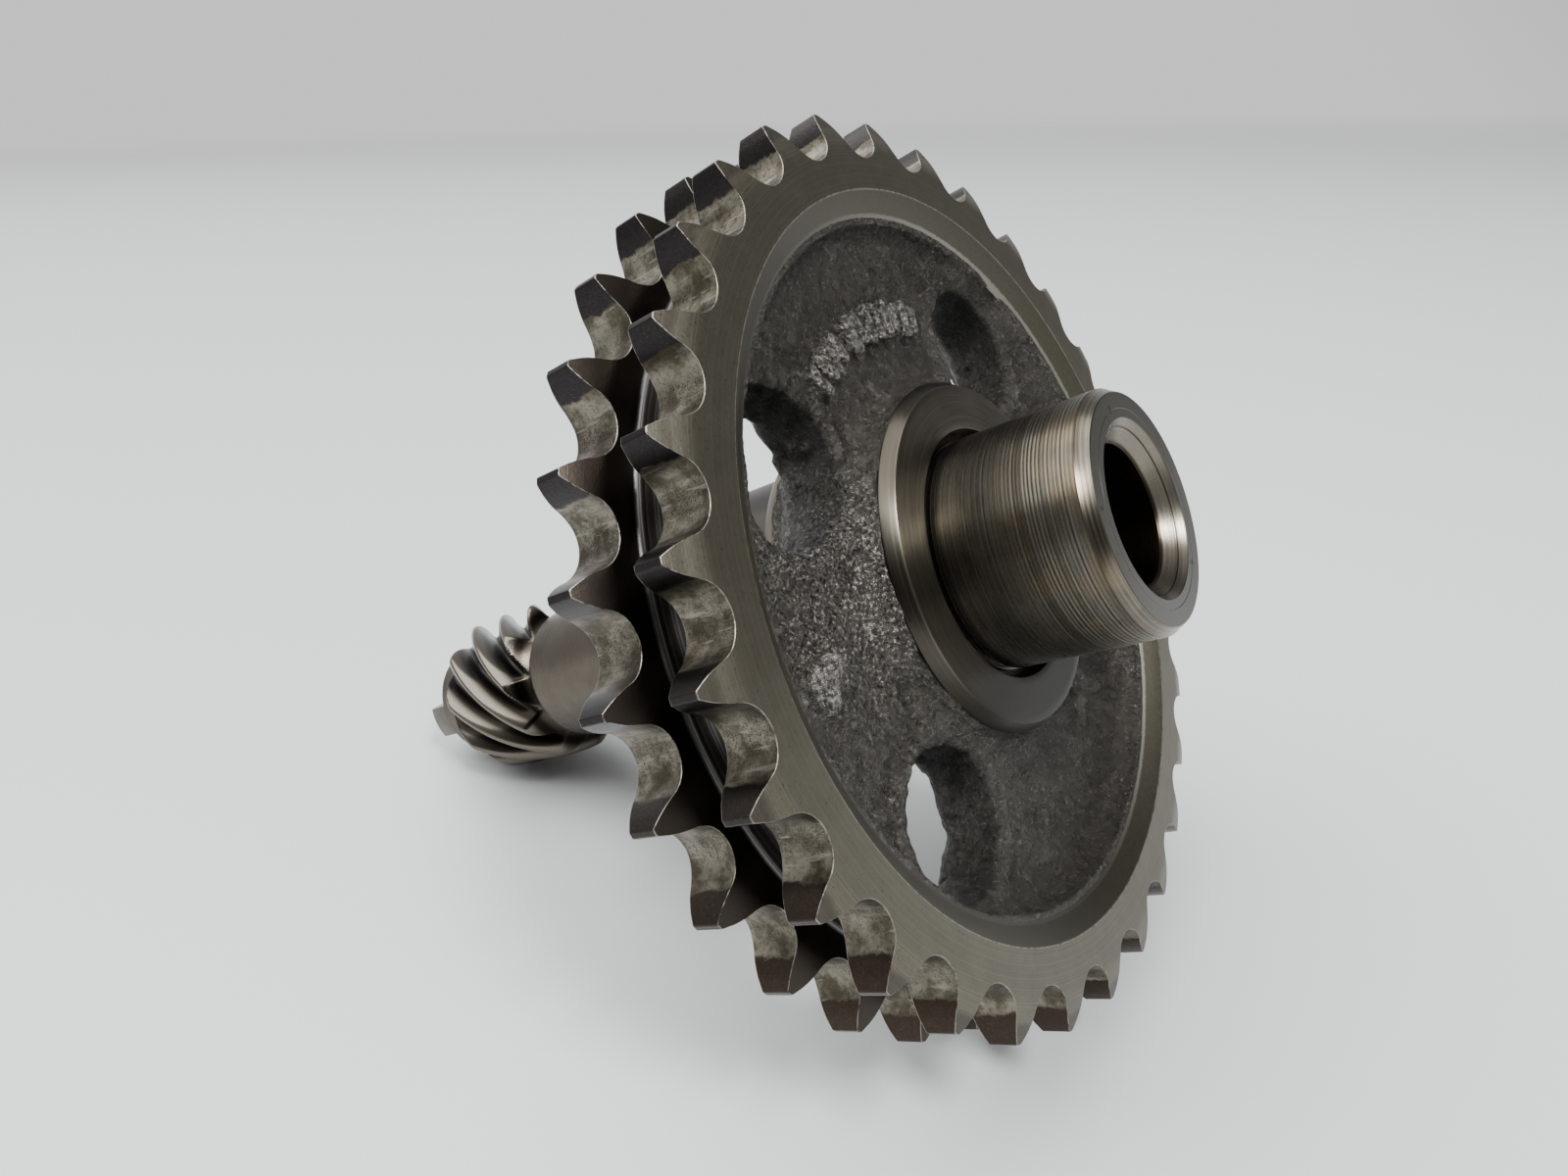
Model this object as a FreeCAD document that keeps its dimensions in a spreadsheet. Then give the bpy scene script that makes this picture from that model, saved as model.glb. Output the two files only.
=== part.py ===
import FreeCAD, Part
import math
import os
import re

import Sketcher
from FreeCAD import Placement, Rotation, Vector

# Chain-driven gear shaft.  A cast duplex sprocket turns on a hollow bearing pin and carries a
# shaft with a helical gear behind it.
# Frame: the shaft's axis is Y, the pin's nose points to -Y, +Z is up, and the origin lies on the
# axis midway between the two rows of teeth.  Sizes are millimetres and degrees.

SIZES = {
    # Teeth for a 3/8 inch duplex roller chain.
    "chain_pitch": 9.525,
    "row_pitch": 10.24,
    "tooth_count": 30,
    "tooth_width": 5.2,
    "tip_radius": 47.2,
    "tip_land": 2.78,
    "bevel_radius": 43.4,
    "barrel_radius": 40.1,
    "seat_radius": 3.25,
    "seat_angle": 137,
    "flank_radius": 8.5,
    "tooth_phase": 4.1,
    # Rim, web and hub of the casting.
    "rim_inner_radius": 38.97,
    "rim_bevel_radius": 36.5,
    "rim_bevel_depth": 1.6,
    "web_half": 3.3,
    "web_outer_radius": 34.4,
    "web_inner_radius": 21.6,
    "boss_face": 7.8,
    "boss_radius": 18.74,
    "boss_face_radius": 17.85,
    "boss_edge": 1.33,
    "rear_boss_face": 8.6,
    "hub_radius": 15.0,
    "hub_end": 25.9,
    "hub_chamfer": 0.6,
    "bush_bore": 13.2,
    "bush_bore_end": 12.4,
    "hole_radius": 7.6,
    "hole_circle": 28.0,
    "hole_top_angle": 43,
    "hole_left_angle": 141.5,
    "hole_low_angle": 225,
    "hole_right_angle": 325.5,
    # Bush between the hub and the bearing pin.
    "bush_inner": 12.25,
    "bush_front": 6.3,
    "bush_rear": 7.2,
    # Hollow bearing pin, with its washer and retaining ring.
    "pin_radius": 12.2,
    "nose_face": 24.0,
    "nose_face_radius": 11.45,
    "nose_edge": 1.2,
    "relief_front": 7.6,
    "relief_rear": 6.7,
    "relief_radius": 11.8,
    "sink_radius": 8.83,
    "sink_depth": 2.1,
    "thread_radius": 7.0,
    "thread_end": 3.6,
    "oilway_radius": 3.0,
    "oil_hole_radius": 1.25,
    "oil_hole_place": 1.5,
    "pin_shoulder": 7.35,
    "pin_stub_radius": 9.5,
    "pin_end": 11.3,
    "washer_inner": 9.55,
    "washer_outer": 13.0,
    "washer_thick": 1.4,
    "ring_seat": 8.9,
    "ring_outer": 11.2,
    "ring_thick": 1.2,
    "ring_slot": 5.0,
    # Shaft with its helical gear and drive tongue.
    "seat_front": 12.7,
    "shaft_radius": 9.0,
    "shaft_end": 60.2,
    "neck_radius": 8.0,
    "gear_front": 61.4,
    "gear_rear": 80.6,
    "gear_teeth": 10,
    "gear_lead": 68,
    "gear_tip": 11.2,
    "gear_root": 8.4,
    "gear_crest": 31.8,
    "front_runout": 2.2,
    "rear_runout": 3.6,
    "tooth_sink": 0.2,
    "journal_front": 79.8,
    "journal_radius": 8.2,
    "journal_end": 82.9,
    "tongue_radius": 7.6,
    "tongue_end": 86.9,
    "tongue_thick": 4.6,
    # Key between the shaft and the hub.
    "key_front": 14.6,
    "key_rear": 24.2,
    "key_width": 4.0,
    "key_bottom": 7.0,
    "key_top": 10.9,
    "key_corner": 1.9,
}

doc = FreeCAD.newDocument("chain_driven_gear_shaft")
sheet = doc.addObject("Spreadsheet::Sheet", "sizes")
for row, (alias, number) in enumerate(SIZES.items(), start=1):
    sheet.set(f"A{row}", alias)
    sheet.set(f"B{row}", str(number))
    sheet.setAlias(f"B{row}", alias)
doc.recompute()


def size(alias):
    """A driving dimension, read from the sheet."""
    return float(sheet.get(alias))


def bound(formula):
    """A formula in sheet names, written so that any object of the document can hold it."""
    return re.sub(r"[a-z_]+", lambda w: f"sizes.{w[0]}" if w[0] in SIZES else w[0], formula)


def amount(formula):
    """The present value of a formula in sheet names."""
    return float(sheet.evalExpression(bound(formula)))


def origin_feature(body, role):
    """The body's own origin plane or axis with that role."""
    return next(item for item in body.Origin.OriginFeatures if item.Role == role)


def new_sketch(body, name, role):
    """An empty sketch on one of the body's origin planes."""
    sketch = body.newObject("Sketcher::SketchObject", name)
    sketch.AttachmentSupport = (origin_feature(body, role), [""])
    sketch.MapMode = "FlatFace"
    return sketch


def constrain(sketch, kind, *places, formula):
    """Adds a dimension to a sketch and binds it to a formula in sheet names."""
    index = sketch.addConstraint(Sketcher.Constraint(kind, *places, amount(formula)))
    sketch.setExpression(f"Constraints[{index}]", bound(formula))


def outline(body, name, role, corners):
    """A closed outline whose corners are pairs of formulas along the sketch's two axes."""
    sketch = new_sketch(body, name, role)
    points = [Vector(amount(across), amount(along), 0) for across, along in corners]
    ends = points[1:] + points[:1]
    sketch.addGeometry([Part.LineSegment(a, b) for a, b in zip(points, ends)], False)
    for line, (across, along) in enumerate(corners):
        following = (line + 1) % len(corners)
        sketch.addConstraint(Sketcher.Constraint("Coincident", line, 2, following, 1))
        constrain(sketch, "DistanceX", -1, 1, line, 1, formula=across)
        constrain(sketch, "DistanceY", -1, 1, line, 1, formula=along)
    return sketch


def turned(name, corners):
    """A body turned about Y from corners of (place along Y, radius)."""
    body = doc.addObject("PartDesign::Body", name)
    body.Label = name
    sketch = outline(body, f"{name}_section", "YZ_Plane", corners)
    turn = body.newObject("PartDesign::Revolution", f"{name}_turn")
    turn.Profile = sketch
    turn.ReferenceAxis = (origin_feature(body, "Y_Axis"), [""])
    turn.Angle = 360
    sketch.Visibility = False
    doc.recompute()
    return body


def cut_through(body, sketch, name, width):
    """Pockets a sketch symmetrically through the body over a width, and proves that it cut."""
    before = body.Shape.Volume
    pocket = body.newObject("PartDesign::Pocket", name)
    pocket.Profile = sketch
    pocket.Midplane = True
    pocket.setExpression("Length", bound(width))
    doc.recompute()
    if body.Shape.Volume >= before:
        raise ValueError(f"{name} cuts nothing")
    return pocket


# Duplex sprocket -------------------------------------------------------------------------------

def tooth_row(centre):
    """Section corners of one row of teeth, from front to back."""
    return [
        (f"{centre} - tooth_width / 2", "bevel_radius"),
        (f"{centre} - tip_land / 2", "tip_radius"),
        (f"{centre} + tip_land / 2", "tip_radius"),
        (f"{centre} + tooth_width / 2", "bevel_radius"),
    ]


SPROCKET_SECTION = [
    ("-boss_face", "bush_bore"),
    ("-boss_face", "boss_face_radius"),
    ("-boss_face + boss_edge", "boss_radius"),
    ("-web_half", "web_inner_radius"),
    ("-web_half", "web_outer_radius"),
    ("-(row_pitch + tooth_width) / 2 + rim_bevel_depth", "rim_bevel_radius"),
    ("-(row_pitch + tooth_width) / 2", "rim_inner_radius"),
    *tooth_row("-row_pitch / 2"),
    ("-(row_pitch - tooth_width) / 2", "barrel_radius"),
    ("(row_pitch - tooth_width) / 2", "barrel_radius"),
    *tooth_row("row_pitch / 2"),
    ("(row_pitch + tooth_width) / 2", "rim_inner_radius"),
    ("(row_pitch + tooth_width) / 2 - rim_bevel_depth", "rim_bevel_radius"),
    ("web_half", "web_outer_radius"),
    ("web_half", "web_inner_radius"),
    ("rear_boss_face - boss_edge", "boss_radius"),
    ("rear_boss_face", "boss_face_radius"),
    ("rear_boss_face", "hub_radius"),
    ("hub_end - hub_chamfer", "hub_radius"),
    ("hub_end", "hub_radius - hub_chamfer"),
    ("hub_end", "shaft_radius"),
    ("bush_bore_end", "shaft_radius"),
    ("bush_bore_end", "bush_bore"),
]


def tooth_gap(body):
    """Sketch of the gap between two teeth: the roller's seat and the two flanks beside it."""
    sketch = new_sketch(body, "tooth_gap", "XZ_Plane")
    sketch.AttachmentOffset = Placement(Vector(), Rotation(Vector(0, 0, 1), size("tooth_phase")))
    sketch.setExpression("AttachmentOffset.Rotation.Angle", bound("tooth_phase * 1 deg"))
    pitch_radius = "chain_pitch / sin(180 deg / tooth_count) / 2"
    seat = Vector(0, amount(pitch_radius), 0)
    half = math.radians(size("seat_angle") / 2)
    low = math.radians(-90)
    up = Vector(0, 0, 1)
    reach = size("seat_radius") + size("flank_radius")
    head = size("tip_radius") + 1.0
    seat_arc = Part.ArcOfCircle(Part.Circle(seat, up, size("seat_radius")), low - half, low + half)
    edges = [seat_arc]
    tops = []
    for side in (1, -1):
        toward = low + side * half
        middle = seat + Vector(math.cos(toward), math.sin(toward), 0) * reach
        rise = math.asin((head - middle.y) / size("flank_radius"))
        start, stop = (math.pi - rise, toward + math.pi)
        if side < 0:
            start, stop = (toward + math.pi, rise)
        flank = Part.Circle(middle, up, size("flank_radius"))
        edges.append(Part.ArcOfCircle(flank, start, stop))
        tops.append(Vector(middle.x - side * math.cos(rise) * size("flank_radius"), head, 0))
    edges.append(Part.LineSegment(*tops))
    sketch.addGeometry(edges, False)
    join = Sketcher.Constraint
    sketch.addConstraint([
        join("Tangent", 0, 2, 1, 2),
        join("Tangent", 0, 1, 2, 1),
        join("Coincident", 1, 1, 3, 1),
        join("Coincident", 2, 2, 3, 2),
        join("PointOnObject", 0, 3, -2),
        join("Horizontal", 3),
        join("Symmetric", 0, 1, 0, 2, -2),
        join("Equal", 1, 2),
    ])
    constrain(sketch, "DistanceY", -1, 1, 0, 3, formula=pitch_radius)
    constrain(sketch, "Radius", 0, formula="seat_radius")
    constrain(sketch, "Radius", 1, formula="flank_radius")
    constrain(sketch, "DistanceX", 0, 1, 0, 2, formula="2 * seat_radius * sin(seat_angle / 2 * 1 deg)")
    constrain(sketch, "DistanceY", -1, 1, 3, 1, formula="tip_radius + 1")
    return sketch


def web_holes(body):
    """Sketch of the four cored holes in the web."""
    sketch = new_sketch(body, "web_holes", "XZ_Plane")
    names = ("hole_top_angle", "hole_left_angle", "hole_low_angle", "hole_right_angle")
    for index, angle in enumerate(names):
        across = f"hole_circle * cos({angle} * 1 deg)"
        along = f"hole_circle * sin({angle} * 1 deg)"
        middle = Vector(amount(across), amount(along), 0)
        sketch.addGeometry(Part.Circle(middle, Vector(0, 0, 1), size("hole_radius")), False)
        constrain(sketch, "Radius", index, formula="hole_radius")
        constrain(sketch, "DistanceX", -1, 1, index, 3, formula=across)
        constrain(sketch, "DistanceY", -1, 1, index, 3, formula=along)
    return sketch


def make_sprocket():
    body = turned("duplex_sprocket", SPROCKET_SECTION)
    gap = cut_through(body, tooth_gap(body), "tooth_gap_cut", "2 * (row_pitch + tooth_width)")
    teeth = body.newObject("PartDesign::PolarPattern", "teeth")
    teeth.Originals = [gap]
    teeth.Axis = (origin_feature(body, "Y_Axis"), [""])
    teeth.Angle = 360
    teeth.Occurrences = int(size("tooth_count"))
    teeth.setExpression("Occurrences", bound("tooth_count"))
    body.Tip = teeth
    doc.recompute()
    cut_through(body, web_holes(body), "web_hole_cut", "4 * web_half")
    keyway = outline(body, "keyway", "YZ_Plane", [
        ("key_front", "key_bottom"),
        ("hub_end + 1", "key_bottom"),
        ("hub_end + 1", "key_top"),
        ("key_front", "key_top"),
    ])
    cut_through(body, keyway, "keyway_cut", "key_width")
    return body


# Bush, bearing pin and the pieces on its inner end -----------------------------------------------

def make_bush():
    return turned("hub_bush", [
        ("-bush_front", "bush_inner"),
        ("-bush_front", "bush_bore"),
        ("bush_rear", "bush_bore"),
        ("bush_rear", "bush_inner"),
    ])


def make_pin():
    body = turned("bearing_pin", [
        ("-nose_face", "sink_radius"),
        ("-nose_face", "nose_face_radius"),
        ("-nose_face + nose_edge", "pin_radius"),
        ("-relief_front", "pin_radius"),
        ("-relief_front", "relief_radius"),
        ("-relief_rear", "relief_radius"),
        ("-relief_rear", "pin_radius"),
        ("pin_shoulder", "pin_radius"),
        ("pin_shoulder", "pin_stub_radius"),
        ("pin_shoulder + washer_thick", "pin_stub_radius"),
        ("pin_shoulder + washer_thick", "ring_seat"),
        ("pin_shoulder + washer_thick + ring_thick", "ring_seat"),
        ("pin_shoulder + washer_thick + ring_thick", "pin_stub_radius"),
        ("pin_end", "pin_stub_radius"),
        ("pin_end", "oilway_radius"),
        ("-thread_end", "oilway_radius"),
        ("-thread_end", "thread_radius"),
        ("-nose_face + sink_depth", "thread_radius"),
    ])
    drill = new_sketch(body, "oil_hole", "XY_Plane")
    place = Vector(0, size("oil_hole_place"), 0)
    drill.addGeometry(Part.Circle(place, Vector(0, 0, 1), size("oil_hole_radius")), False)
    drill.addConstraint(Sketcher.Constraint("PointOnObject", 0, 3, -2))
    constrain(drill, "DistanceY", -1, 1, 0, 3, formula="oil_hole_place")
    constrain(drill, "Radius", 0, formula="oil_hole_radius")
    cut_through(body, drill, "oil_hole_cut", "2 * pin_radius + 2")
    return body


def make_washer():
    return turned("thrust_washer", [
        ("pin_shoulder", "washer_inner"),
        ("pin_shoulder", "washer_outer"),
        ("pin_shoulder + washer_thick", "washer_outer"),
        ("pin_shoulder + washer_thick", "washer_inner"),
    ])


def make_retaining_ring():
    body = turned("retaining_ring", [
        ("pin_shoulder + washer_thick", "ring_seat"),
        ("pin_shoulder + washer_thick", "ring_outer"),
        ("pin_shoulder + washer_thick + ring_thick", "ring_outer"),
        ("pin_shoulder + washer_thick + ring_thick", "ring_seat"),
    ])
    slot = outline(body, "ring_opening", "YZ_Plane", [
        ("pin_shoulder", "-ring_outer - 1"),
        ("pin_end", "-ring_outer - 1"),
        ("pin_end", "-ring_seat + 1"),
        ("pin_shoulder", "-ring_seat + 1"),
    ])
    cut_through(body, slot, "ring_opening_cut", "ring_slot")
    return body


# Shaft with its helical gear ----------------------------------------------------------------------

def tooth_section():
    """Cross-section of the helical teeth: rounded crests joined by rounded roots."""
    teeth = int(size("gear_teeth"))
    step = 2 * math.pi / teeth
    first = math.radians(size("gear_crest"))
    place = size("gear_front")

    def at(radius, angle):
        return Vector(radius * math.cos(angle), place, radius * math.sin(angle))

    middle_radius = (size("gear_tip") + size("gear_root")) / 2
    edges = []
    for tooth in range(teeth):
        crest = first + tooth * step
        root = crest + step / 2
        left, right = at(middle_radius, crest - step / 4), at(middle_radius, crest + step / 4)
        after = at(middle_radius, root + step / 4)
        edges.append(Part.Arc(left, at(size("gear_tip"), crest), right).toShape())
        edges.append(Part.Arc(right, at(size("gear_root"), root), after).toShape())
    return Part.Wire(edges)


def twisted_teeth():
    """The cross-section carried along Y while it turns as a right-hand screw."""
    width = size("gear_rear") - size("gear_front")
    start = Vector(0, size("gear_front"), 0)
    spine = Part.Wire([Part.makeLine(start, start + Vector(0, width, 0))])
    helix = Part.makeHelix(size("gear_lead"), width, size("gear_tip"))
    helix.Placement = Placement(start, Rotation(Vector(1, 0, 0), -90))
    sweep = Part.BRepOffsetAPI.MakePipeShell(spine)
    sweep.setAuxiliarySpine(Part.Wire(helix.Edges), True, 0)
    sweep.add(tooth_section(), False, False)
    sweep.build()
    sweep.makeSolid()
    return sweep.shape()


def make_gear_shaft(key):
    blank = turned("shaft_blank", [
        ("seat_front", "shaft_radius - hub_chamfer"),
        ("seat_front + hub_chamfer", "shaft_radius"),
        ("shaft_end", "shaft_radius"),
        ("shaft_end", "neck_radius"),
        ("journal_front", "neck_radius"),
        ("journal_front", "journal_radius"),
        ("journal_end", "journal_radius"),
        ("journal_end", "tongue_radius"),
        ("tongue_end", "tongue_radius"),
        ("tongue_end", "0"),
        ("seat_front", "0"),
    ])
    for side in ("", "-"):
        relief = outline(blank, "tongue_side", "YZ_Plane", [
            ("journal_end", f"{side}(tongue_thick / 2)"),
            ("tongue_end + 1", f"{side}(tongue_thick / 2)"),
            ("tongue_end + 1", f"{side}(journal_radius + 1)"),
            ("journal_end", f"{side}(journal_radius + 1)"),
        ])
        cut_through(blank, relief, "tongue_cut", "2 * journal_radius + 2")
    teeth = doc.addObject("Part::Feature", "helical_teeth")
    teeth.Shape = twisted_teeth()
    envelope = turned("tooth_envelope", [
        ("gear_front", "neck_radius - tooth_sink"),
        ("gear_front + front_runout", "gear_tip + tooth_sink"),
        ("gear_rear - rear_runout", "gear_tip + tooth_sink"),
        ("gear_rear", "neck_radius - tooth_sink"),
        ("gear_rear", "0"),
        ("gear_front", "0"),
    ])
    trimmed = doc.addObject("Part::Common", "trimmed_teeth")
    trimmed.Base = teeth
    trimmed.Tool = envelope
    whole = doc.addObject("Part::Fuse", "shaft_with_teeth")
    whole.Base = blank
    whole.Tool = trimmed
    shaft = doc.addObject("Part::Cut", "gear_shaft")
    shaft.Label = "gear_shaft"
    shaft.Base = whole
    shaft.Tool = key
    shaft.Placement = Placement()
    return shaft


def make_key():
    """A flat key with rounded ends, standing on the +Z side of the shaft's seat."""
    bar = doc.addObject("Part::Box", "key_bar")
    bar.setExpression("Length", bound("key_width"))
    bar.setExpression("Width", bound("key_rear - key_front"))
    bar.setExpression("Height", bound("key_top - key_bottom"))
    bar.setExpression("Placement.Base.x", bound("-key_width / 2"))
    bar.setExpression("Placement.Base.y", bound("key_front"))
    bar.setExpression("Placement.Base.z", bound("key_bottom"))
    doc.recompute()
    upright = [
        number for number, edge in enumerate(bar.Shape.Edges, start=1)
        if abs(edge.tangentAt(edge.FirstParameter).z) > 0.5
    ]
    key = doc.addObject("Part::Fillet", "shaft_key")
    key.Label = "shaft_key"
    key.Base = bar
    key.Edges = [(number, size("key_corner"), size("key_corner")) for number in upright]
    key.Placement = Placement()
    doc.recompute()
    return key


shaft_key = make_key()
NODES = [
    make_sprocket(),
    make_bush(),
    make_pin(),
    make_washer(),
    make_retaining_ring(),
    make_gear_shaft(shaft_key),
    shaft_key,
]
doc.recompute()

for item in doc.Objects:
    if "Invalid" in item.State or "Error" in item.State:
        raise ValueError(f"{item.Name} failed: {item.State}")
for node in NODES:
    if node.Shape.isNull() or not node.Shape.isValid():
        raise ValueError(f"{node.Label} has no valid shape")

os.makedirs("parts", exist_ok=True)
for node in NODES:
    node.Shape.exportStep(f"parts/{node.Label}.step")
    print(f"{node.Label}: {node.Shape.Volume:.0f} cubic millimetres, {len(node.Shape.Solids)} solid")
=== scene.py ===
import math

import bpy
import numpy as np
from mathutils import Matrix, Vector


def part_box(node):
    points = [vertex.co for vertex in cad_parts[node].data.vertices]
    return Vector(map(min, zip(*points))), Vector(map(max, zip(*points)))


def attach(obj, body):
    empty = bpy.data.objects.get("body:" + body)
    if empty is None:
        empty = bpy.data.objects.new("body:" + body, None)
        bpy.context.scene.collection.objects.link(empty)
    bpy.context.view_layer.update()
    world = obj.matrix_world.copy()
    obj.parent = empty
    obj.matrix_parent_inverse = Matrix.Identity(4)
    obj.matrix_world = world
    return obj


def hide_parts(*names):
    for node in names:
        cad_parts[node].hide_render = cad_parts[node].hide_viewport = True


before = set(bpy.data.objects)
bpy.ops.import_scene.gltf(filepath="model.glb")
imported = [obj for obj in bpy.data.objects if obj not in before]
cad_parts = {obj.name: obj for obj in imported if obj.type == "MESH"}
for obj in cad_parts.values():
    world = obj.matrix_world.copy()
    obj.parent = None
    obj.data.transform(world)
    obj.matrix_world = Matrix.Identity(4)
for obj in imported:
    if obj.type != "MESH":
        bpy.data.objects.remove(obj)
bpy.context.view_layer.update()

# The wheel and its shaft lie along Y, with the nose of the bearing pin towards -Y.  Shapes are
# worked out in millimetres in the frame's own axes and turned into metres as they become meshes.
MM = 0.001

# Driving sizes, the same as the model's.
tongue_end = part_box("gear_shaft")[1].y / MM
nose_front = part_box("bearing_pin")[0].y / MM
pin_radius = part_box("bearing_pin")[1].x / MM
hub_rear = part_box("duplex_sprocket")[1].y / MM
seat_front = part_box("gear_shaft")[0].y / MM
bush_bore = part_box("hub_bush")[1].x / MM

TEETH = 30
TOOTH_PHASE = math.radians(4.1)
TIP_RADIUS = 47.2
CHAIN_PITCH = 9.525
PITCH_RADIUS = CHAIN_PITCH / math.sin(math.pi / TEETH) / 2
ROW_PLACE = 5.12
TOOTH_HALF = 2.6
LAND_HALF = 1.39
BEVEL_RADIUS = 43.2
BARREL_RADIUS = 40.1
SEAT_RADIUS = 3.25
SEAT_HALF_ANGLE = math.radians(68.5)
FLANK_RADIUS = 8.5
RIM_FACE = ROW_PLACE + TOOTH_HALF
EDGE_WEAR = 0.05

# The casting's own rough surfaces lie just under the machined ones.
CAST_BOSS_RADIUS = 18.55
CAST_BOSS_FRONT, CAST_BOSS_REAR = 6.3, 7.1
CAST_RIM_INNER, CAST_RIM_HALF = 36.0, 6.15
CAST_BORE, CAST_OUTSIDE = 14.3, 37.9

WEB_HALF = 3.3
BOSS_FACE = 7.8
BOSS_RADIUS = 18.74
BOSS_FACE_RADIUS = 17.85
REAR_BOSS_FACE = 8.6
HUB_RADIUS = 15.0
HOLE_RADIUS = 7.6
HOLE_CIRCLE = 28.0
HOLE_ANGLES = (43.0, 141.5, 225.0, 325.5)
# Middle of the web's patch of painted highlight and sparkle, as (x, z).
SPARKLE_PATCH_PLACE = (-23.0, 6.0)
BUSH_SEAT_END = 12.4

RELIEF_FRONT, RELIEF_REAR, RELIEF_RADIUS = -7.6, -6.7, 11.8
PIN_SHOULDER = 7.35
WASHER_REAR, RING_REAR, PIN_END = 8.75, 9.95, 11.3
STUB_RADIUS, RING_SEAT = 9.5, 8.9
THREAD_RADIUS, THREAD_END = 7.0, -3.9
OILWAY_RADIUS = 3.0
RIB_PITCH, RIB_DEPTH = 0.37, 0.020

SHAFT_RADIUS = 9.0
SHAFT_END = 60.2
NECK_RADIUS = 8.0
GEAR_FRONT, GEAR_REAR = 61.4, 80.6
GEAR_TEETH, GEAR_LEAD = 10, 68.0
GEAR_TIP, GEAR_ROOT = 11.2, 8.4
GEAR_CREST = math.radians(31.8)
FRONT_CONE_SLOPE, REAR_CONE_SLOPE = 1.55, 0.92
JOURNAL_RADIUS = 8.2
JOURNAL_FRONT, JOURNAL_END = 80.3, 82.9
TONGUE_RADIUS = 7.6
TONGUE_HALF = 2.3
KEY_FRONT, KEY_REAR = 14.6, 24.2
KEY_HALF = 2.0
KEY_FLOOR, KEY_ROOF = 7.0, 10.9

rng = np.random.default_rng(7)


# Shapes ------------------------------------------------------------------------------------------

def add_object(name, data):
    """A new object in the scene that shows the data."""
    thing = bpy.data.objects.new(name, data)
    bpy.context.scene.collection.objects.link(thing)
    return thing


def mesh_object(name, points, faces, crease=None, **values):
    """A mesh from points in millimetres, creased above an angle; values are kept for each point."""
    data = bpy.data.meshes.new(name)
    data.from_pydata((np.asarray(points) * MM).tolist(), [], faces)
    data.update()
    data.polygons.foreach_set("use_smooth", [True] * len(data.polygons))
    if crease is not None:
        data.set_sharp_from_angle(angle=math.radians(crease))
    for label, numbers in values.items():
        layer = data.attributes.new(label, "FLOAT", "POINT")
        layer.data.foreach_set("value", np.asarray(numbers, np.float32).ravel())
    return add_object(name, data)


def wrapped_grid(rows, columns, close_rows=True):
    """Faces of a grid of points, closed round its columns and, if asked, round its rows."""
    first = np.arange(rows if close_rows else rows - 1)
    second = np.arange(columns)
    a, b = np.meshgrid(first, second, indexing="ij")
    after, beside = (a + 1) % rows, (b + 1) % columns
    quads = np.stack([a * columns + b, a * columns + beside,
                      after * columns + beside, after * columns + b], -1)
    return quads.reshape(-1, 4).tolist()


def bend(start, corner, stop, share):
    """A place on the curve that leaves start towards a corner and arrives at stop."""
    return (1 - share) ** 2 * start + 2 * share * (1 - share) * corner + share ** 2 * stop


def rounded(corners, radius, steps=4):
    """A closed outline of (place, radius) corners, each one eased over a short distance."""
    corners = np.asarray(corners, float)
    outline = []
    for index, corner in enumerate(corners):
        before, after = corners[index - 1], corners[(index + 1) % len(corners)]
        back, ahead = before - corner, after - corner
        ease = min(radius, 0.45 * np.linalg.norm(back), 0.45 * np.linalg.norm(ahead))
        start = corner + back / np.linalg.norm(back) * ease
        stop = corner + ahead / np.linalg.norm(ahead) * ease
        outline += [bend(start, corner, stop, share) for share in np.linspace(0, 1, steps)]
    return np.array(outline)


def divided(outline, longest):
    """The closed outline with points added until no step is longer than asked."""
    full = []
    for start, stop in zip(outline, np.roll(outline, -1, axis=0)):
        count = max(1, math.ceil(np.linalg.norm(stop - start) / longest))
        full += [start + (stop - start) * share for share in np.arange(count) / count]
    return np.array(full)


def around(place, radius, angle):
    """Points at places along Y, at a radius from the axis and an angle about it."""
    return np.stack([radius * np.cos(angle), place + 0 * angle, radius * np.sin(angle)], -1)


def turned_points(outline, columns):
    """Points of an outline of (place along Y, radius) turned round the axis."""
    angle = np.arange(columns) * 2 * math.pi / columns
    return around(outline[:, 0][:, None], outline[:, 1][:, None], angle)


def key_slot(points, bore, level):
    """Columns of a bore or a shaft moved out or in to a level, to make the slot for the key."""
    reach = math.asin(KEY_HALF / bore)
    angle = np.arctan2(points[..., 2], points[..., 0]) - math.pi / 2
    share = np.clip(angle / reach, -1, 1)
    lip = bore * math.cos(reach)
    deep = abs(level - lip)
    along = share * (KEY_HALF + deep)
    inside = np.abs(along) < KEY_HALF
    down = (np.abs(along) - KEY_HALF).clip(0, deep) / deep
    moved = points.copy()
    moved[..., 0] = np.where(inside, -along, -np.sign(along) * KEY_HALF)
    moved[..., 2] = np.where(inside, level, level + (lip - level) * down)
    return np.where((np.abs(angle) < reach)[..., None], moved, points)


def capped(name, rings, crease=30.0):
    """A closed body from rings of points along Y, ended by fans about their middles."""
    rings = np.asarray(rings)
    count, columns = rings.shape[:2]
    body = rings.reshape(-1, 3)
    faces = wrapped_grid(count, columns, close_rows=False)
    beside = [(index + 1) % columns for index in range(columns)]
    last = (count - 1) * columns
    body = np.vstack([body, rings[0].mean(0), rings[-1].mean(0)])
    faces += [[beside[index], index, len(body) - 2] for index in range(columns)]
    faces += [[last + index, last + beside[index], len(body) - 1] for index in range(columns)]
    return mesh_object(name, body, faces, crease)


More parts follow.
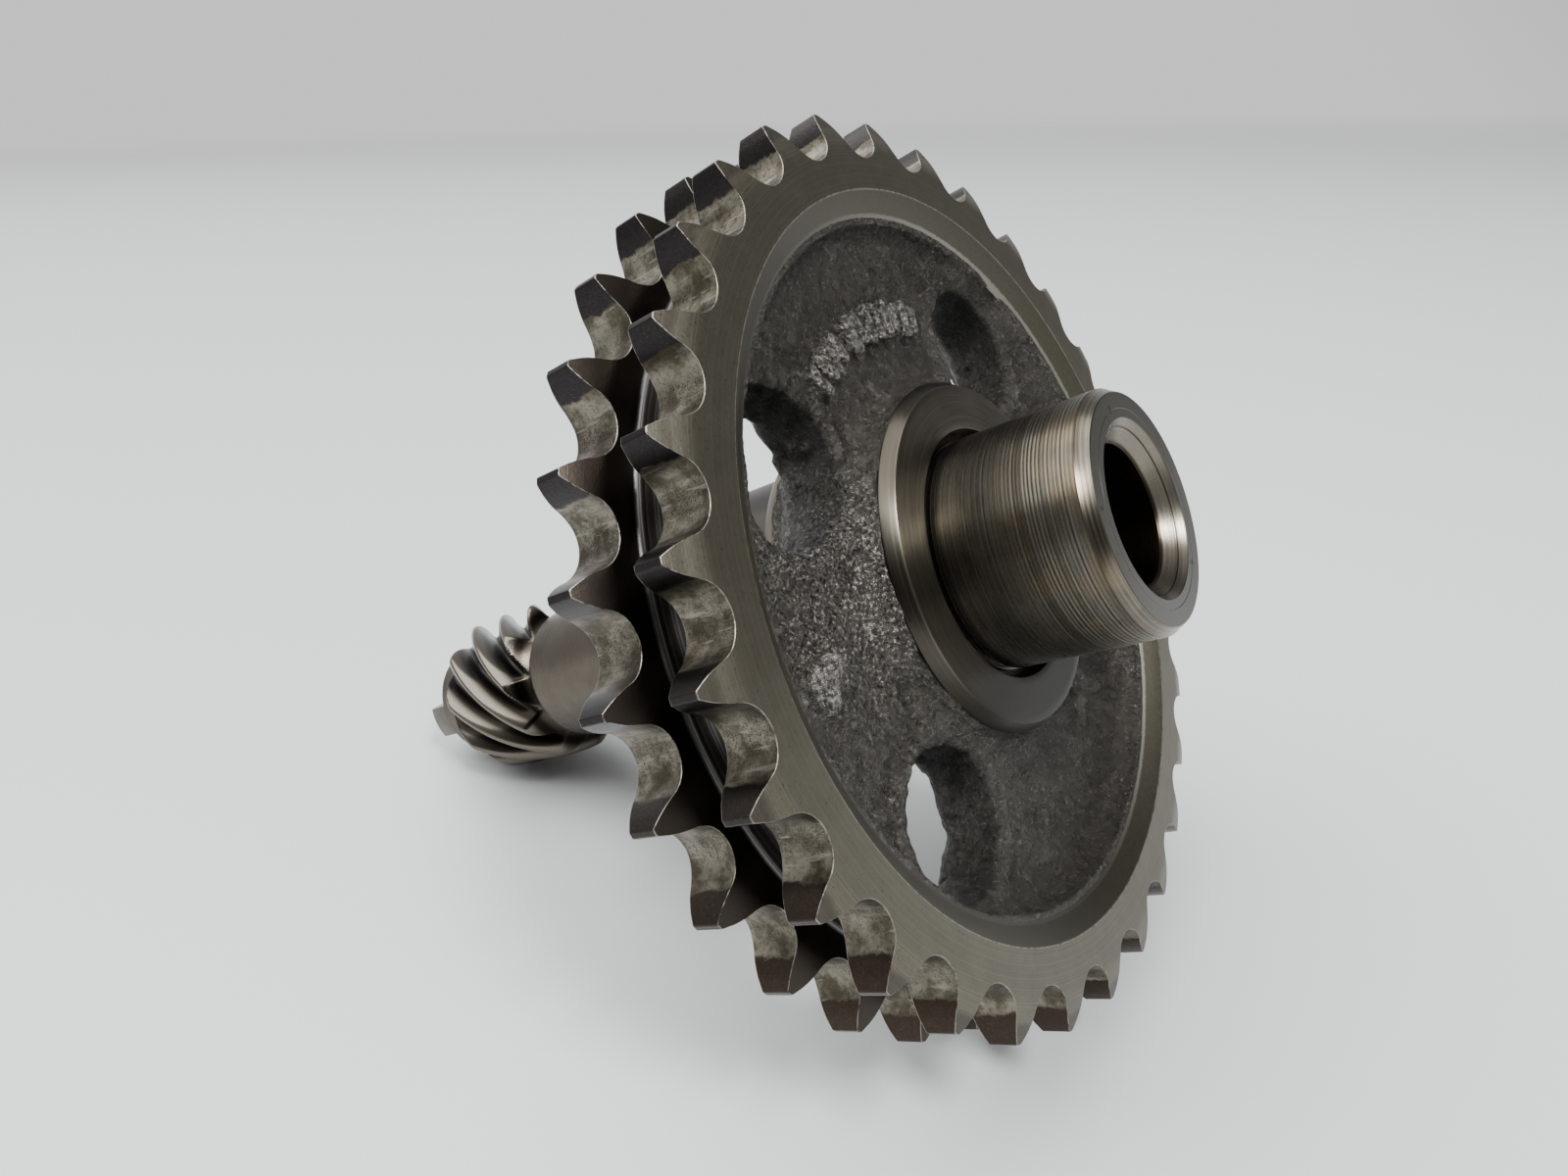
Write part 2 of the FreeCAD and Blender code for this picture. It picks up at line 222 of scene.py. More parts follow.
def tooth_outline():
    """Angle from a gap's middle and radius, from one tooth's middle to the next."""
    seat = np.array([0.0, PITCH_RADIUS])
    toward = np.array([math.sin(SEAT_HALF_ANGLE), -math.cos(SEAT_HALF_ANGLE)])
    turn = np.linspace(0, SEAT_HALF_ANGLE, 14)
    seat_arc = seat + SEAT_RADIUS * np.stack([np.sin(turn), -np.cos(turn)], -1)
    middle = seat + toward * (SEAT_RADIUS + FLANK_RADIUS)
    # The flank's arc leaves the seat and is walked in fine steps until it passes the tip.
    start = math.atan2(-toward[1], -toward[0])
    swing = start - np.linspace(0, 0.6, 600)
    flank = middle + FLANK_RADIUS * np.stack([np.cos(swing), np.sin(swing)], -1)
    flank = flank[np.hypot(*flank.T) < TIP_RADIUS]
    end_angle = math.atan2(*flank[-1])
    half_pitch = math.pi / TEETH
    land = np.linspace(end_angle, half_pitch, 7)[1:]
    tip = TIP_RADIUS * np.stack([np.sin(land), np.cos(land)], -1)
    corner = TIP_RADIUS * np.array([math.sin(end_angle), math.cos(end_angle)])
    # The corner between flank and tip is eased by a curve this far back from it.
    ease = 0.12
    short = flank[np.linalg.norm(flank - corner, axis=1) > ease]
    kept = short[np.linspace(0, len(short) - 1, 11).astype(int)][1:]
    after = corner + (tip[0] - corner) / np.linalg.norm(tip[0] - corner) * ease
    curve = [bend(kept[-1], corner, after, share) for share in (0.3, 0.55, 0.8)]
    tip = tip[np.arctan2(tip[:, 0], tip[:, 1]) > math.atan2(*after)]
    half = np.vstack([seat_arc, kept, curve, tip])
    angle, radius = np.arctan2(half[:, 0], half[:, 1]), np.hypot(*half.T)
    return (np.concatenate([-angle[:0:-1], angle[:-1]]),
            np.concatenate([radius[:0:-1], radius[:-1]]))


def half_width(radius):
    """Half of a tooth's width at a radius: full at the rim, bevelled towards the tip."""
    share = np.clip((radius - BEVEL_RADIUS) / (TIP_RADIUS - BEVEL_RADIUS), 0, 1)
    return TOOTH_HALF - (TOOTH_HALF - LAND_HALF) * share ** 1.5


def tooth_face(edge_radius, from_radius, side, centre, steps):
    """Rows of (place, radius, flank, worn) up one face of a row of teeth, over its worn edge."""
    ease = 0.09
    rows = []
    for share in np.linspace(0, 1, steps) ** 0.8:
        radius = from_radius + share * (edge_radius - ease - 0.04 - from_radius)
        rows.append((centre + side * half_width(radius), radius, 0 * radius, 0 * radius))
    corner_place = centre + side * half_width(edge_radius - ease / 2)
    start = (centre + side * half_width(edge_radius - ease), edge_radius - ease)
    stop = (corner_place - side * ease, edge_radius)
    for share, worn in ((0.0, 0.2), (0.3, 1.0), (0.65, 1.0), (1.0, 0.0)):
        rows.append((bend(start[0], corner_place, stop[0], share),
                     bend(start[1], edge_radius, stop[1], share),
                     0 * edge_radius + share, 0 * edge_radius + worn))
    return rows


def tooth_row(edge_radius, inner, centre):
    """Rows across one ring of teeth, from its front face over the flanks to its back face."""
    front = tooth_face(edge_radius, inner, -1, centre, 12)
    back = tooth_face(edge_radius, inner, 1, centre, 12)[::-1]
    flank = []
    for share in (0.01, *np.linspace(0.12, 0.88, 7), 0.99):
        place = front[-1][0] * (1 - share) + back[0][0] * share
        flank.append((place, edge_radius, 0 * place + 1, 0 * place))
    return front + flank + back


def make_toothed_rim():
    """The two machined rows of teeth, the barrel between them and the turned faces of the rim."""
    angle, radius = tooth_outline()
    gap = (np.arange(TEETH) + 0.5) * 2 * math.pi / TEETH + TOOTH_PHASE
    turns = (gap[:, None] + angle[None]).ravel()
    edge = np.tile(radius, TEETH)
    wear = EDGE_WEAR * rng.uniform(0, 1, TEETH).repeat(len(angle))
    edge = edge - wear * (edge > PITCH_RADIUS + 1)
    plain = 0 * edge

    def ring(place, at_radius, worn=0.0):
        return (plain + place, plain + at_radius, plain, plain + worn)

    def side(sign):
        """From inside the casting up the rim's bevel and over its worn edge to the flat face."""
        bevel = [(4.6, 37.0), (5.9, 36.2), (6.2, 36.6), (7.0, 37.85), (7.66, 38.86)]
        worn_edge = [(7.69, 38.92), (RIM_FACE, 38.99)]
        face = [(RIM_FACE, 39.06), (RIM_FACE, 40.3)]
        return ([ring(sign * place, height) for place, height in bevel]
                + [ring(sign * place, height, 1.0) for place, height in worn_edge]
                + [ring(sign * place, height) for place, height in face])

    low = plain + 41.2
    barrel_edge = ROW_PLACE - TOOTH_HALF
    lip = [(barrel_edge - inset, BARREL_RADIUS + rise)
           for inset, rise in ((0.0, 0.5), (0.15, 0.12), (0.5, 0.0))]
    groove = [ring(-place, height) for place, height in lip]
    groove += [ring(place, BARREL_RADIUS) for place in np.linspace(-1.7, 1.7, 5)]
    groove += [ring(place, height) for place, height in lip[::-1]]
    rows = side(-1) + tooth_row(edge, low, -ROW_PLACE) + groove
    rows += tooth_row(edge, low, ROW_PLACE) + side(1)[::-1]
    table = np.array(rows)
    place, radii, flank, worn = (table[:, k] for k in range(4))
    points = around(place, radii, turns)
    return mesh_object("sprocket_toothed_rim", points.reshape(-1, 3),
                       wrapped_grid(len(rows), len(turns)), crease=50, flank=flank, worn=worn)


def smooth_noise(points, cell, seed):
    """Smooth noise from -1 to 1 at points, with features about one cell across."""
    lattice = np.random.default_rng(seed).uniform(-1, 1, (64, 64, 64)).astype(np.float32)
    place = points / cell + 500.0
    low = np.floor(place).astype(np.int64)
    part = (place - low).astype(np.float32)
    part = part * part * (3 - 2 * part)
    total = 0
    for corner in range(8):
        step = np.array([corner & 1, corner >> 1 & 1, corner >> 2 & 1])
        share = np.where(step, part, 1 - part).prod(-1)
        at = (low + step) % 64
        total = total + share * lattice[at[..., 0], at[..., 1], at[..., 2]]
    return total


def blend_most(a, b, ease):
    """The larger of two distances, with the meeting edge eased."""
    overlap = np.maximum(ease - np.abs(a - b), 0) / ease
    return np.maximum(a, b) + overlap ** 2 * ease / 4


def blend_least(a, b, ease):
    """The smaller of two distances, with the meeting corner filled."""
    return -blend_most(-a, -b, ease)


def polar(radius, degrees):
    """A place on the web, as (x, z)."""
    return radius * math.cos(math.radians(degrees)), radius * math.sin(math.radians(degrees))


def casting(points):
    """Distance-like value of the sand-cast web, negative inside the metal."""
    x, y, z = points[..., 0], points[..., 1], points[..., 2]
    radius = np.hypot(x, z)
    web = np.abs(y) - WEB_HALF
    boss_half = np.where(y < 0, CAST_BOSS_FRONT, CAST_BOSS_REAR)
    boss = np.maximum(radius - CAST_BOSS_RADIUS, np.abs(y) - boss_half)
    rim = np.maximum(CAST_RIM_INNER - radius, np.abs(y) - CAST_RIM_HALF)
    body = blend_least(blend_least(web, boss, 4.5), rim, 3.6)
    for degrees in HOLE_ANGLES:
        across, up = polar(HOLE_CIRCLE, degrees)
        gap = np.hypot(x - across, z - up)
        collar = np.maximum(gap - HOLE_RADIUS - 1.4, np.abs(y) - WEB_HALF - 0.25)
        body = blend_least(body, collar, 2.0)
        body = blend_most(body, HOLE_RADIUS - gap, 1.7)
    for across, up, size, height in LUMPS:
        flat = np.hypot(x - across, z - up) - size
        body = blend_least(body, blend_most(flat, np.abs(y + WEB_HALF) - height, 0.8), 1.1)
    # The sand's roughness dies away where the casting meets the machined rim and boss.
    calm = np.clip((35.3 - radius) / 2.5, 0, 1) * np.clip((radius - 18.0) / 2.0, 0, 1)
    body = body + calm * (0.20 * smooth_noise(points, 3.1, 3) + 0.20 * smooth_noise(points, 1.5, 4))
    body = body + (0.03 + 0.17 * calm) * smooth_noise(points, 0.85, 5)
    for (x0, z0), (x1, z1), height in MARKS:
        share = ((x - x0) * (x1 - x0) + (z - z0) * (z1 - z0)) / ((x1 - x0) ** 2 + (z1 - z0) ** 2)
        share = np.clip(share, 0, 1)
        flat = np.hypot(x - x0 - share * (x1 - x0), z - z0 - share * (z1 - z0)) - 0.55
        body = blend_least(body, blend_most(flat, np.abs(y + WEB_HALF) - height, 0.4), 0.3)
    return np.maximum(body, np.maximum(CAST_BORE - radius, radius - CAST_OUTSIDE))


# Raised places on the front of the web: (x, z, radius, height over its middle).
LUMPS = [(-29.8, -0.2, 2.3, 1.2), (-28.4, 0.6, 1.1, 1.5), (-30.3, -1.4, 0.8, 1.5),
         (*polar(28.7, -99.6), 0.9, 0.8), (*polar(26.2, -62.4), 1.4, 0.75)]


# Short ridges left by the mould: (degrees round, tilt off the spoke, half length, height).
RIDGES = ((119, 4, 1.5, 1.45), (115, 12, 1.3, 1.55), (111, -5, 1.6, 1.5), (107, 6, 1.2, 1.45),
          (100, 3, 1.6, 1.55), (96, 13, 1.2, 1.45), (92, -6, 1.6, 1.6), (88, 7, 1.4, 1.5),
          (84, 0, 1.6, 1.55), (80, -9, 1.2, 1.45), (76, 8, 1.5, 1.6), (72, 2, 1.2, 1.45))
RIDGE_CIRCLE = 26.5


def raised_marks():
    """The ends and height of each raised ridge, along an arc above the boss."""
    strokes = []
    for degrees, tilt, half, height in RIDGES:
        middle = np.array(polar(RIDGE_CIRCLE, degrees))
        along = half * np.array(polar(1.0, degrees + tilt))
        strokes.append((tuple(middle - along), tuple(middle + along), height))
    return strokes


MARKS = raised_marks()


def surface_net(field, low, step, shape):
    """Points and quads of the surface where a field crosses zero on a regular grid."""
    axes = [low[k] + step * np.arange(shape[k]) for k in range(3)]
    values = np.empty(shape, np.float32)
    for index, x in enumerate(axes[0]):
        y, z = np.meshgrid(axes[1], axes[2], indexing="ij")
        values[index] = field(np.stack([np.full_like(y, x), y, z], -1))
    inside = values < 0

    # Each cell that the surface crosses gets one point, the mean of its edges' crossings.
    cells = tuple(n - 1 for n in shape)
    corners = [(i, j, k) for i in (0, 1) for j in (0, 1) for k in (0, 1)]
    part = [slice(None, -1), slice(1, None)]
    count = sum(inside[part[i], part[j], part[k]].astype(np.int8) for i, j, k in corners)
    active = (count > 0) & (count < 8)
    number = np.full(cells, -1, np.int64)
    number[active] = np.arange(active.sum())
    where = np.argwhere(active)
    total, seen = np.zeros((len(where), 3)), np.zeros((len(where), 1))
    for start in corners:
        for axis in range(3):
            if start[axis]:
                continue
            stop = list(start)
            stop[axis] = 1
            first = values[tuple((where + start).T)]
            second = values[tuple((where + stop).T)]
            cross = (first < 0) != (second < 0)
            share = np.where(cross, first / np.where(cross, first - second, 1), 0)
            place = where + np.array(start, float)
            place[:, axis] += share
            total += place * cross[:, None]
            seen += cross[:, None]
    points = np.array(low) + step * total / seen

    # Each grid edge that the surface crosses gives one quad between the four cells round it.
    quads = []
    for axis in range(3):
        one, two = (axis + 1) % 3, (axis + 2) % 3
        before = [slice(None)] * 3
        after = [slice(None)] * 3
        before[axis], after[axis] = slice(None, -1), slice(1, None)
        change = inside[tuple(before)] != inside[tuple(after)]
        for at in (one, two):
            edge = [slice(None)] * 3
            edge[at] = 0
            change[tuple(edge)] = False
        place = np.argwhere(change)
        place = place[(place[:, one] < cells[one]) & (place[:, two] < cells[two])]
        outward = inside[tuple(place.T)]
        ring = []
        for back_one, back_two in ((0, 0), (1, 0), (1, 1), (0, 1)):
            shifted = place.copy()
            shifted[:, one] -= back_one
            shifted[:, two] -= back_two
            ring.append(number[tuple(shifted.T)])
        ring = np.stack(ring, -1)
        quads.append(np.where(outward[:, None], ring, ring[:, ::-1]))
    return points, np.vstack(quads)


def make_cast_web():
    """The rough casting between the rim and the boss, with its four cored holes."""
    step = 0.38
    reach, deep = 39.0, 8.6
    low = (-reach, -deep, -reach)
    shape = (math.ceil(2 * reach / step), math.ceil(2 * deep / step), math.ceil(2 * reach / step))
    points, quads = surface_net(casting, low, step, shape)
    # Two short moves along the field's slope bring the points onto the true surface.
    nudge = 0.05
    for _ in range(2):
        here = casting(points)
        slope = np.stack([casting(points + nudge * axis) - casting(points - nudge * axis)
                          for axis in np.eye(3)], -1) / (2 * nudge)
        steepness = np.maximum((slope ** 2).sum(-1), 0.25)[:, None]
        points = points - 0.8 * here[:, None] * slope / steepness
    return mesh_object("sprocket_cast_web", points, quads.tolist())


def make_hub():
    """The machined boss faces and the hub sleeve behind the wheel, with its keyway."""
    outline = divided(rounded([
        (-BOSS_FACE, bush_bore), (-BOSS_FACE, BOSS_FACE_RADIUS), (-6.47, BOSS_RADIUS),
        (-5.3, 18.3), (-4.5, 14.8), (5.0, 14.8), (6.2, 18.3), (7.27, BOSS_RADIUS),
        (REAR_BOSS_FACE, BOSS_FACE_RADIUS), (REAR_BOSS_FACE, HUB_RADIUS),
        (hub_rear - 0.6, HUB_RADIUS), (hub_rear, HUB_RADIUS - 0.6), (hub_rear, 11.4),
        (hub_rear, SHAFT_RADIUS), (KEY_FRONT + 0.03, SHAFT_RADIUS), (KEY_FRONT, SHAFT_RADIUS),
        (BUSH_SEAT_END, SHAFT_RADIUS), (BUSH_SEAT_END, bush_bore)], 0.12, steps=3), 0.8)
    columns = 256
    points = turned_points(outline, columns)
    slot = (outline[:, 0] > KEY_FRONT) & (outline[:, 1] < SHAFT_RADIUS + 0.13)
    points[slot] = key_slot(points[slot], SHAFT_RADIUS, KEY_ROOF)
    return mesh_object("sprocket_hub", points.reshape(-1, 3), wrapped_grid(len(outline), columns),
                       crease=28)


def make_pin():
    """The hollow bearing pin: fine ribs that fade towards its root, and a sharp hollow mouth."""
    edge, root, step = nose_front + 1.22, -13.4, 0.05
    running_end = PIN_SHOULDER - 0.05
    outer = np.array([(place, pin_radius) for place in np.arange(edge, running_end, step)])
    ahead = np.clip((root - outer[:, 0]) / (root - edge), 0, 1) ** 0.7
    phase = np.cumsum(step / (RIB_PITCH + 0.05 * ahead)) * 2 * math.pi
    uneven = np.interp(outer[:, 0], np.linspace(edge, running_end, 90), rng.uniform(0.2, 1.2, 90))
    outer[:, 1] -= (0.002 + RIB_DEPTH * ahead) * uneven * (0.5 - 0.5 * np.cos(phase))
    relief = (outer[:, 0] > RELIEF_FRONT) & (outer[:, 0] < RELIEF_REAR)
    outer[relief, 1] = RELIEF_RADIUS
    shoulder = [(PIN_SHOULDER, pin_radius - 0.3), (PIN_SHOULDER, STUB_RADIUS),
                (WASHER_REAR, STUB_RADIUS), (WASHER_REAR, RING_SEAT), (RING_REAR, RING_SEAT),
                (RING_REAR, STUB_RADIUS), (PIN_END, STUB_RADIUS - 0.2), (PIN_END, OILWAY_RADIUS),
                (THREAD_END + 0.3, OILWAY_RADIUS), (THREAD_END, THREAD_RADIUS)]
    bore = [(place, THREAD_RADIUS)
            for place in np.linspace(THREAD_END, nose_front + 2.15, 36, endpoint=False)]
    mouth = [(nose_front + 2.1, 7.02), (nose_front + 2.0, 7.12), (nose_front + 0.78, 8.22),
             (nose_front + 0.68, 8.34), (nose_front + 0.10, 8.80), (nose_front, 8.9)]
    face = [(nose_front, 9.76), (nose_front + 0.03, 9.8), (nose_front, 9.84), (nose_front, 11.36),
            (nose_front + 0.06, 11.47), (nose_front + 1.08, 12.06), (nose_front + 1.17, 12.15)]
    outline = np.vstack([outer, shoulder, bore, mouth, face])
    columns = 288
    points = turned_points(outline, columns)
    return mesh_object("bearing_pin_turned", points.reshape(-1, 3),
                       wrapped_grid(len(outline), columns), crease=26)


def gear_radius(place, angle):
    """Radius of the toothed stretch: rounded ridges, turned away by a cone at each end."""
    crest = GEAR_CREST - (place - GEAR_FRONT) * 2 * math.pi / GEAR_LEAD
    wave = 0.5 + 0.5 * np.cos(GEAR_TEETH * (angle - crest))
    teeth = GEAR_ROOT + (GEAR_TIP - GEAR_ROOT) * wave ** 0.85
    front = NECK_RADIUS + (place - GEAR_FRONT) * FRONT_CONE_SLOPE
    rear = NECK_RADIUS + (GEAR_REAR - place) * REAR_CONE_SLOPE
    return np.maximum(-blend_most(-teeth, -min(front, rear), 0.5), NECK_RADIUS)


def make_gear_shaft():
    """The shaft from the hub to its far end, with the helical teeth and the tail journal."""
    columns = 400
    angle = np.arange(columns) * 2 * math.pi / columns
    plain = [(seat_front, 4.0), (seat_front, 8.4), (seat_front + 0.6, SHAFT_RADIUS),
             (KEY_FRONT - 0.01, SHAFT_RADIUS), (KEY_FRONT, SHAFT_RADIUS),
             (KEY_REAR - 0.01, SHAFT_RADIUS), (KEY_REAR, SHAFT_RADIUS)]
    plain += [(place, SHAFT_RADIUS) for place in np.arange(25.0, SHAFT_END - 0.5, 1.5)]
    plain += [(SHAFT_END - 0.35, SHAFT_RADIUS), (SHAFT_END, SHAFT_RADIUS - 0.35),
              (SHAFT_END, NECK_RADIUS + 0.25), (SHAFT_END + 0.25, NECK_RADIUS)]
    rings = [(place, radius + 0 * angle) for place, radius in plain]
    for place in np.arange(GEAR_FRONT, JOURNAL_FRONT, 0.18):
        rings.append((place, gear_radius(place, angle)))
    tail = [(JOURNAL_FRONT, NECK_RADIUS + 0.1), (JOURNAL_FRONT + 0.12, JOURNAL_RADIUS),
            (JOURNAL_END - 0.3, JOURNAL_RADIUS), (JOURNAL_END, JOURNAL_RADIUS - 0.3),
            (JOURNAL_END, 4.0)]
    rings += [(place, radius + 0 * angle) for place, radius in tail]
    points = np.array([around(place, radius, angle) for place, radius in rings])
    place = points[:, 0, 1]
    seat = (place >= KEY_FRONT) & (place < KEY_REAR - 0.005)
    points[seat] = key_slot(points[seat], SHAFT_RADIUS, KEY_FLOOR)
    return capped("gear_shaft_ground", points)


def make_tongue():
    """The flat drive tongue milled on the shaft's end."""
    limit = math.asin(TONGUE_HALF / TONGUE_RADIUS)
    side = np.linspace(-limit, limit, 24)
    right = TONGUE_RADIUS * np.stack([np.cos(side), np.sin(side)], -1)
    top = np.linspace(right[-1], right[-1] * (-1, 1), 16)[1:-1]
    half = np.vstack([right, top])
    outline = np.vstack([half, -half])
    rings = []
    for place, inset in ((JOURNAL_END - 1.0, 0.0), (tongue_end - 0.3, 0.0),
                         (tongue_end - 0.09, 0.09), (tongue_end, 0.3)):
        shrink = outline - np.sign(outline) * np.minimum(inset, np.abs(outline) * 0.98)
        rings.append([(x, place, z) for x, z in shrink])
    return capped("gear_shaft_tongue", rings)


# Materials ---------------------------------------------------------------------------------------

def smooth_step(nodes, low, high):
    """A node that goes from 0 at low to 1 at high, whichever of the two is larger."""
    node = nodes.new("ShaderNodeMapRange")
    node.interpolation_type = "SMOOTHSTEP"
    node.inputs["From Min"].default_value = min(low, high)
    node.inputs["From Max"].default_value = max(low, high)
    node.inputs["To Min"].default_value = 0.0 if low < high else 1.0
    node.inputs["To Max"].default_value = 1.0 if low < high else 0.0
    return node


class Finish:
    """A node material whose coordinates are millimetres in the frame's axes."""

    def __init__(self, name, metallic=1.0):
        self.material = bpy.data.materials.new(name)
        self.material.use_nodes = True
        self.nodes = self.material.node_tree.nodes
        self.links = self.material.node_tree.links
        self.surface = self.nodes["Principled BSDF"]
        self.surface.inputs["Metallic"].default_value = metallic
        place = self.nodes.new("ShaderNodeTexCoord").outputs["Object"]
        scaled = self.nodes.new("ShaderNodeVectorMath")
        scaled.operation = "SCALE"
        scaled.inputs["Scale"].default_value = 1 / MM
        self.links.new(place, scaled.inputs[0])
        self.place = scaled.outputs[0]
        split = self.nodes.new("ShaderNodeSeparateXYZ")
        self.links.new(self.place, split.inputs[0])
        self.x, self.y, self.z = split.outputs
        flat = self.nodes.new("ShaderNodeCombineXYZ")
        self.links.new(self.x, flat.inputs[0])
        self.links.new(self.z, flat.inputs[1])
        length = self.nodes.new("ShaderNodeVectorMath")
        length.operation = "LENGTH"
        self.links.new(flat.outputs[0], length.inputs[0])
        self.radius = length.outputs["Value"]
        self.angle = self.math("ARCTAN2", self.z, self.x)

    def put(self, value, socket):
        """Links a socket to an input, or sets the input to a constant."""
        if isinstance(value, bpy.types.NodeSocket):
            self.links.new(value, socket)
        else:
            socket.default_value = value

    def math(self, operation, a, b=0.0, c=0.0):
        """One arithmetic operation on sockets or numbers."""
        node = self.nodes.new("ShaderNodeMath")
        node.operation = operation
        for value, socket in zip((a, b, c), node.inputs):
            self.put(value, socket)
        return node.outputs[0]

    def times(self, a, b):
        """The product of two masks, or a mask made fainter by a number."""
        return self.math("MULTIPLY", a, b)

    def step(self, value, low, high):
        """A mask: 0 where the value is at low, 1 at high and smooth between them."""
        node = smooth_step(self.nodes, low, high)
        self.put(value, node.inputs["Value"])
        return node.outputs["Result"]

    def noise(self, scale, detail=3.0, place=None, roughness=0.55):
        """Noise with a number of features to the millimetre, round 0.5."""
        node = self.nodes.new("ShaderNodeTexNoise")
        self.links.new(self.place if place is None else place, node.inputs["Vector"])
        node.inputs["Scale"].default_value = scale
        node.inputs["Detail"].default_value = detail
        node.inputs["Roughness"].default_value = roughness
        return node.outputs["Fac"]

    def line_noise(self, value, scale, detail=2.0):
        """Noise that changes along one number only."""
        node = self.nodes.new("ShaderNodeTexNoise")
        node.noise_dimensions = "1D"
        self.put(value, node.inputs["W"])
        node.inputs["Scale"].default_value = scale
        node.inputs["Detail"].default_value = detail
        return node.outputs["Fac"]

    def stretched(self, x, y, z):
        """A place made of three values."""
        node = self.nodes.new("ShaderNodeCombineXYZ")
        for value, socket in zip((x, y, z), node.inputs):
            self.put(value, socket)
        return node.outputs[0]

    def drawn_out(self, detail, *parts):
        """Noise over up to three values, each given with its number of features to the unit."""
        scaled = [self.times(value, scale) for value, scale in parts]
        scaled += [0.0] * (3 - len(scaled))
        return self.noise(1.0, detail, place=self.stretched(*scaled))

    def mix(self, share, a, b):
        """From colour a at share 0 to colour b at share 1."""
        node = self.nodes.new("ShaderNodeMix")
        node.data_type = "RGBA"
        self.put(share, node.inputs[0])
        self.put(a if isinstance(a, bpy.types.NodeSocket) else (*a, 1.0), node.inputs[6])
        self.put(b if isinstance(b, bpy.types.NodeSocket) else (*b, 1.0), node.inputs[7])
        return node.outputs[2]

    def stain(self, under, mask, amount, colour):
        """A colour laid over another where the mask is 1, as strongly as the amount says."""
        return self.mix(self.times(mask, amount), under, colour)

    def blend(self, share, a, b):
        """From number a at share 0 to number b at share 1."""
        node = self.nodes.new("ShaderNodeMix")
        self.put(share, node.inputs[0])
        self.put(a, node.inputs[2])
        self.put(b, node.inputs[3])
        return node.outputs[0]

    def away(self, across, up):
        """Distance from a line along Y through a place on the web."""
        node = self.nodes.new("ShaderNodeVectorMath")
        node.operation = "LENGTH"
        self.links.new(self.stretched(self.math("SUBTRACT", self.x, across),
                                      self.math("SUBTRACT", self.z, up), 0.0), node.inputs[0])
        return node.outputs["Value"]

    def facing_down(self):
        """1 where the surface faces down from the top of a hole, 0 where it faces up."""
        split = self.nodes.new("ShaderNodeSeparateXYZ")
        self.links.new(self.nodes.new("ShaderNodeTexCoord").outputs["Normal"], split.inputs[0])
        return self.step(split.outputs["Z"], 0.45, -0.35)

    def kept(self, label):
        """A number kept for each point of the mesh."""
        node = self.nodes.new("ShaderNodeAttribute")
        node.attribute_name = label
        return node.outputs["Fac"]

    def bump(self, height, depth_mm, strength=1.0, under=None):
        """A normal with relief of a depth in millimetres, laid over another normal."""
        node = self.nodes.new("ShaderNodeBump")
        node.inputs["Strength"].default_value = strength
        node.inputs["Distance"].default_value = depth_mm * MM
        self.links.new(height, node.inputs["Height"])
        if under is not None:
            self.links.new(under, node.inputs["Normal"])
        return node.outputs[0]

    def turned(self, amount):
        """Draws highlights out across marks that run round the axis."""
        tangent = self.nodes.new("ShaderNodeTangent")
        tangent.direction_type = "RADIAL"
        tangent.axis = "Y"
        self.links.new(tangent.outputs[0], self.surface.inputs["Tangent"])
        self.surface.inputs["Anisotropic"].default_value = amount
        self.surface.inputs["Anisotropic Rotation"].default_value = 0.25

    def finish(self, colour, roughness, normal=None):
        """Links the results to the surface and gives the material."""
        self.put(colour, self.surface.inputs["Base Color"])
        self.put(roughness, self.surface.inputs["Roughness"])
        if normal is not None:
            self.links.new(normal, self.surface.inputs["Normal"])
        return self.material


